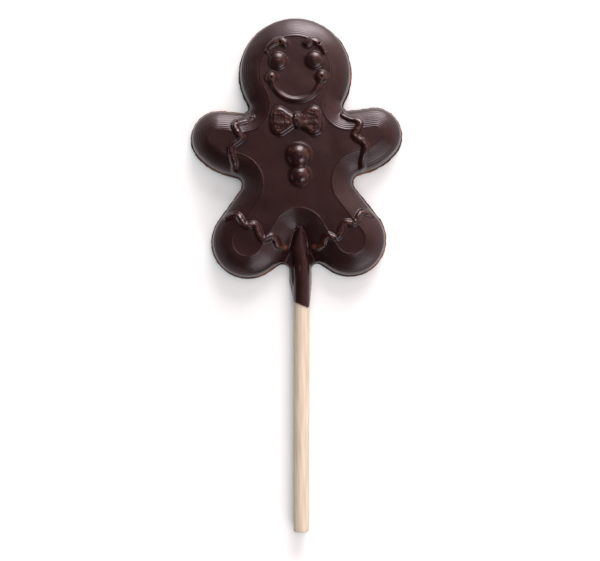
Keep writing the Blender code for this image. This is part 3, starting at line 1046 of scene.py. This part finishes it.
def chocolate_mesh():
    """The figure, whose front carries the values that its material reads."""
    loop, inner = front_places()
    flat, faces, rim = triangulated(loop, inner)
    z, edge, inside, relief, satin, cut = heights(flat)
    z[rim] = RIM_HEIGHT
    z = np.clip(z, LOWEST_FRONT, None)
    mesh = closed_mesh(np.column_stack([flat, z]), faces, rim, loop)

    on_slope = ramp_down(inside, *CUT_END)
    satin = np.where(cut, np.maximum(satin, DULLNESS["cut"] * on_slope), satin)
    strength = CUT_STRENGTH[0] + CUT_STRENGTH[1] * ramp_up(inside, *CUT_GROWTH)
    front_values = {
        "inset": inside,
        "satin": satin,
        "wear_and_highlight": wear_and_highlight_share(flat, edge, relief),
        "cut": cut * on_slope * strength,
    }
    for name, values in front_values.items():
        attribute = mesh.attributes.new(name, "FLOAT", "POINT")
        whole = np.zeros(len(mesh.vertices), dtype=np.float32)
        whole[:len(flat)] = values
        attribute.data.foreach_set("value", whole)
    return mesh


def stick_stations():
    """(y, radius) along the stick, from its hidden end to its free end."""
    top = STICK_END_Y + STICK_LENGTH
    stations = [(top - inward, STICK_RADIUS - loss) for inward, loss in HIDDEN_END]
    middle = np.linspace(top - STICK_END_LENGTH, STICK_END_Y + STICK_END_LENGTH, STICK_STATIONS)
    stations += [(y, STICK_RADIUS) for y in middle]
    stations += [(STICK_END_Y + inward, STICK_RADIUS - loss) for inward, loss in FREE_END]
    return stations


def stick_mesh():
    """Round stick with slightly broken edges and a little unevenness along its length.

    The part inside the chocolate is slimmer, so that it doesn't come through the ridge.
    """
    stations = stick_stations()
    sides = STICK_SIDES
    verts = []
    for y, radius in stations:
        hidden = float(rising(y, SLEEVE_COVER_Y, SLEEVE_COVER_BLEND))
        slimming = (HIDDEN_STICK_RADIUS - STICK_RADIUS) * hidden
        for k in range(sides):
            angle = math.tau * k / sides
            across = math.cos(angle)
            up = math.sin(angle)
            rough = noise.noise(Vector((
                across * UNEVEN_ROUND, y / UNEVEN_LENGTH, up * UNEVEN_ROUND)))
            size = radius - UNEVENNESS + UNEVENNESS * rough + slimming
            verts.append((stick_x(y) + size * across, y + CROTCH_Y, STICK_AXIS_Z + size * up))
    faces = []
    rings = len(stations)
    for i in range(rings - 1):
        for k in range(sides):
            a = i * sides + k
            b = i * sides + (k + 1) % sides
            faces.append((a, b, b + sides, a + sides))
    faces.append(tuple(range(sides))[::-1])
    faces.append(tuple((rings - 1) * sides + k for k in range(sides)))
    mesh = bpy.data.meshes.new("stick")
    mesh.from_pydata([(x * MM, y * MM, z * MM) for x, y, z in verts], [], faces)
    mesh.validate()
    mesh.shade_smooth()
    mesh.set_sharp_from_angle(angle=STICK_SHARP_ANGLE)
    return mesh


def new_material(name):
    """A new material, its node tree and its shader."""
    material = bpy.data.materials.new(name)
    material.use_nodes = True
    tree = material.node_tree
    return material, tree, tree.nodes["Principled BSDF"]


def place_node(tree):
    """The place on the object."""
    return tree.nodes.new("ShaderNodeTexCoord").outputs["Object"]


def attribute_node(tree, name):
    """A value that the mesh carries."""
    node = tree.nodes.new("ShaderNodeAttribute")
    node.attribute_name = name
    return node.outputs["Fac"]


def noise_node(tree, place, scale, detail):
    node = tree.nodes.new("ShaderNodeTexNoise")
    node.inputs["Scale"].default_value = scale
    node.inputs["Detail"].default_value = detail
    tree.links.new(place, node.inputs["Vector"])
    return node.outputs["Fac"]


def math_node(tree, operation, *values):
    """An operation on numbers and on the outputs of other nodes."""
    node = tree.nodes.new("ShaderNodeMath")
    node.operation = operation
    for socket, value in zip(node.inputs, values):
        if isinstance(value, float):
            socket.default_value = value
        else:
            tree.links.new(value, socket)
    return node.outputs[0]


def map_node(tree, value, source, target):
    """A value moved from one range to another."""
    node = tree.nodes.new("ShaderNodeMapRange")
    for name, limit in zip(("From Min", "From Max", "To Min", "To Max"), source + target):
        node.inputs[name].default_value = limit
    tree.links.new(value, node.inputs["Value"])
    return node.outputs["Result"]


def ramp_node(tree, share, span, colours):
    """A colour that changes from the first to the second over a span of the share."""
    node = tree.nodes.new("ShaderNodeValToRGB")
    for i in range(2):
        element = node.color_ramp.elements[i]
        element.position = span[i]
        element.color = (*colours[i], 1.0)
    tree.links.new(share, node.inputs["Fac"])
    return node.outputs["Color"]


def mix_node(tree, share, first, second):
    """The first colour, from a node, with a share of the second, a fixed one."""
    node = tree.nodes.new("ShaderNodeMix")
    node.data_type = "RGBA"
    node.inputs["B"].default_value = second
    tree.links.new(first, node.inputs["A"])
    tree.links.new(share, node.inputs["Factor"])
    return node.outputs["Result"]


def bump_node(tree, height, strength, distance):
    node = tree.nodes.new("ShaderNodeBump")
    node.inputs["Strength"].default_value = strength
    node.inputs["Distance"].default_value = distance
    tree.links.new(height, node.inputs["Height"])
    return node.outputs["Normal"]


def chocolate_bump(tree, place):
    """Normal with the cutter's lines, stronger in patches, and with fine grit all over."""
    phase = math_node(tree, "MULTIPLY", attribute_node(tree, "inset"), math.tau / LINE_PITCH)
    sine = math_node(tree, "SINE", phase)
    patches = noise_node(tree, place, *PATCHES)
    strength = map_node(tree, patches, PATCH_RANGE, PATCH_STRENGTH)
    uneven = math_node(tree, "MULTIPLY", sine, strength)
    lines = math_node(tree, "MULTIPLY", uneven, attribute_node(tree, "cut"))
    grit = noise_node(tree, place, *GRIT)
    height = math_node(tree, "MULTIPLY_ADD", grit, GRIT_SHARE, lines)
    return bump_node(tree, height, 1.0, LINE_DEPTH * MM)


def chocolate_material():
    material, tree, shader = new_material("dark chocolate")
    satin = attribute_node(tree, "satin")
    roughness = map_node(tree, satin, (0.0, 1.0), CHOCOLATE_ROUGHNESS)
    tree.links.new(roughness, shader.inputs["Roughness"])
    shader.inputs["IOR"].default_value = CHOCOLATE_IOR
    shader.inputs["Specular Tint"].default_value = CHOCOLATE_SHEEN
    place = place_node(tree)
    clouds = noise_node(tree, place, *CLOUDS)
    tint = ramp_node(tree, clouds, TINT_RANGE, CHOCOLATE_COLOURS)
    # The paler colour mixes in real wear and the painted highlight spot on the ridge.
    colour = mix_node(tree, attribute_node(tree, "wear_and_highlight"), tint, WEAR_AND_HIGHLIGHT_COLOUR)
    tree.links.new(colour, shader.inputs["Base Color"])
    tree.links.new(chocolate_bump(tree, place), shader.inputs["Normal"])
    return material


def wood_material():
    material, tree, shader = new_material("pale birch")
    shader.inputs["Roughness"].default_value = WOOD_ROUGHNESS
    stretch = tree.nodes.new("ShaderNodeMapping")
    stretch.inputs["Scale"].default_value = FIBRE_STRETCH
    tree.links.new(place_node(tree), stretch.inputs["Vector"])
    fibres = noise_node(tree, stretch.outputs["Vector"], *FIBRES)
    tint = ramp_node(tree, fibres, TINT_RANGE, WOOD_COLOURS)
    tree.links.new(tint, shader.inputs["Base Color"])
    normal = bump_node(tree, fibres, WOOD_BUMP_STRENGTH, WOOD_BUMP_DEPTH)
    tree.links.new(normal, shader.inputs["Normal"])
    return material


def table_material():
    material, _, shader = new_material("white table")
    shader.inputs["Base Color"].default_value = TABLE_COLOUR
    shader.inputs["Roughness"].default_value = TABLE_ROUGHNESS
    shader.inputs["Specular IOR Level"].default_value = TABLE_SPECULAR
    return material


def add_object(name, data):
    item = bpy.data.objects.new(name, data)
    bpy.context.scene.collection.objects.link(item)
    return item


def add_piece(name, mesh, material, node):
    mesh.materials.append(material)
    piece = add_object(name, mesh)
    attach(piece, "root")
    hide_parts(node)
    return piece


def add_floor():
    size = TABLE_HALF_SIZE
    mesh = bpy.data.meshes.new("floor")
    mesh.from_pydata(
        [(-size, -size, 0.0), (size, -size, 0.0), (size, size, 0.0), (-size, size, 0.0)],
        [], [(0, 1, 2, 3)])
    mesh.materials.append(table_material())
    floor = add_object("floor", mesh)


def add_panel(name, azimuth, elevation, distance, size, radiance, colour):
    """Soft rectangular light that faces the figure from a direction given in degrees."""
    light = bpy.data.lights.new(name, "AREA")
    light.shape = "RECTANGLE"
    light.size = size[0]
    light.size_y = size[1]
    light.energy = radiance * math.pi * size[0] * size[1]
    light.color = colour
    across = math.radians(azimuth)
    up = math.radians(elevation)
    place = distance * Vector((
        math.cos(across) * math.cos(up), math.sin(across) * math.cos(up), math.sin(up)))
    lamp = add_object(name, light)
    lamp.location = place
    lamp.rotation_euler = (-place).to_track_quat("-Z", "Y").to_euler()
    return lamp


def add_surroundings():
    """A room that is dark on the left and below, and paler towards the right."""
    world = bpy.data.worlds.new("studio")
    world.use_nodes = True
    tree = world.node_tree
    place = tree.nodes.new("ShaderNodeTexCoord")
    lean = tree.nodes.new("ShaderNodeVectorMath")
    lean.operation = "DOT_PRODUCT"
    lean.inputs[1].default_value = (math.cos(BRIGHT_SIDE), math.sin(BRIGHT_SIDE), 0.0)
    tree.links.new(place.outputs["Generated"], lean.inputs[0])
    colour = ramp_node(tree, lean.outputs["Value"], (0.0, 1.0), ROOM_COLOURS)
    tree.links.new(colour, tree.nodes["Background"].inputs["Color"])
    bpy.context.scene.world = world


def add_lights():
    for panel in LIGHTS:
        add_panel(*panel)
    overhead = add_panel(*OVERHEAD)
    overhead.visible_glossy = False
    add_surroundings()


def add_camera():
    camera = bpy.data.cameras.new("camera")
    camera.sensor_width = SENSOR
    camera.lens = SENSOR * CAMERA_HEIGHT / (PICTURE_SIZE[0] * PIXEL)
    camera.clip_start = VIEW_RANGE[0]
    camera.clip_end = VIEW_RANGE[1]
    eye = add_object("camera", camera)
    eye.location = (CAMERA_OVER[0] * MM, (CAMERA_OVER[1] + CROTCH_Y) * MM, CAMERA_HEIGHT * MM)
    eye.rotation_euler = (0.0, 0.0, -LEAN)
    bpy.context.scene.camera = eye


add_camera()
add_piece("gingerbread_man", chocolate_mesh(), chocolate_material(), "chocolate")
add_piece("wooden_stick", stick_mesh(), wood_material(), "stick")
add_floor()
add_lights()
bpy.context.scene.view_settings.view_transform = "Standard"
bpy.context.scene.view_settings.look = "None"
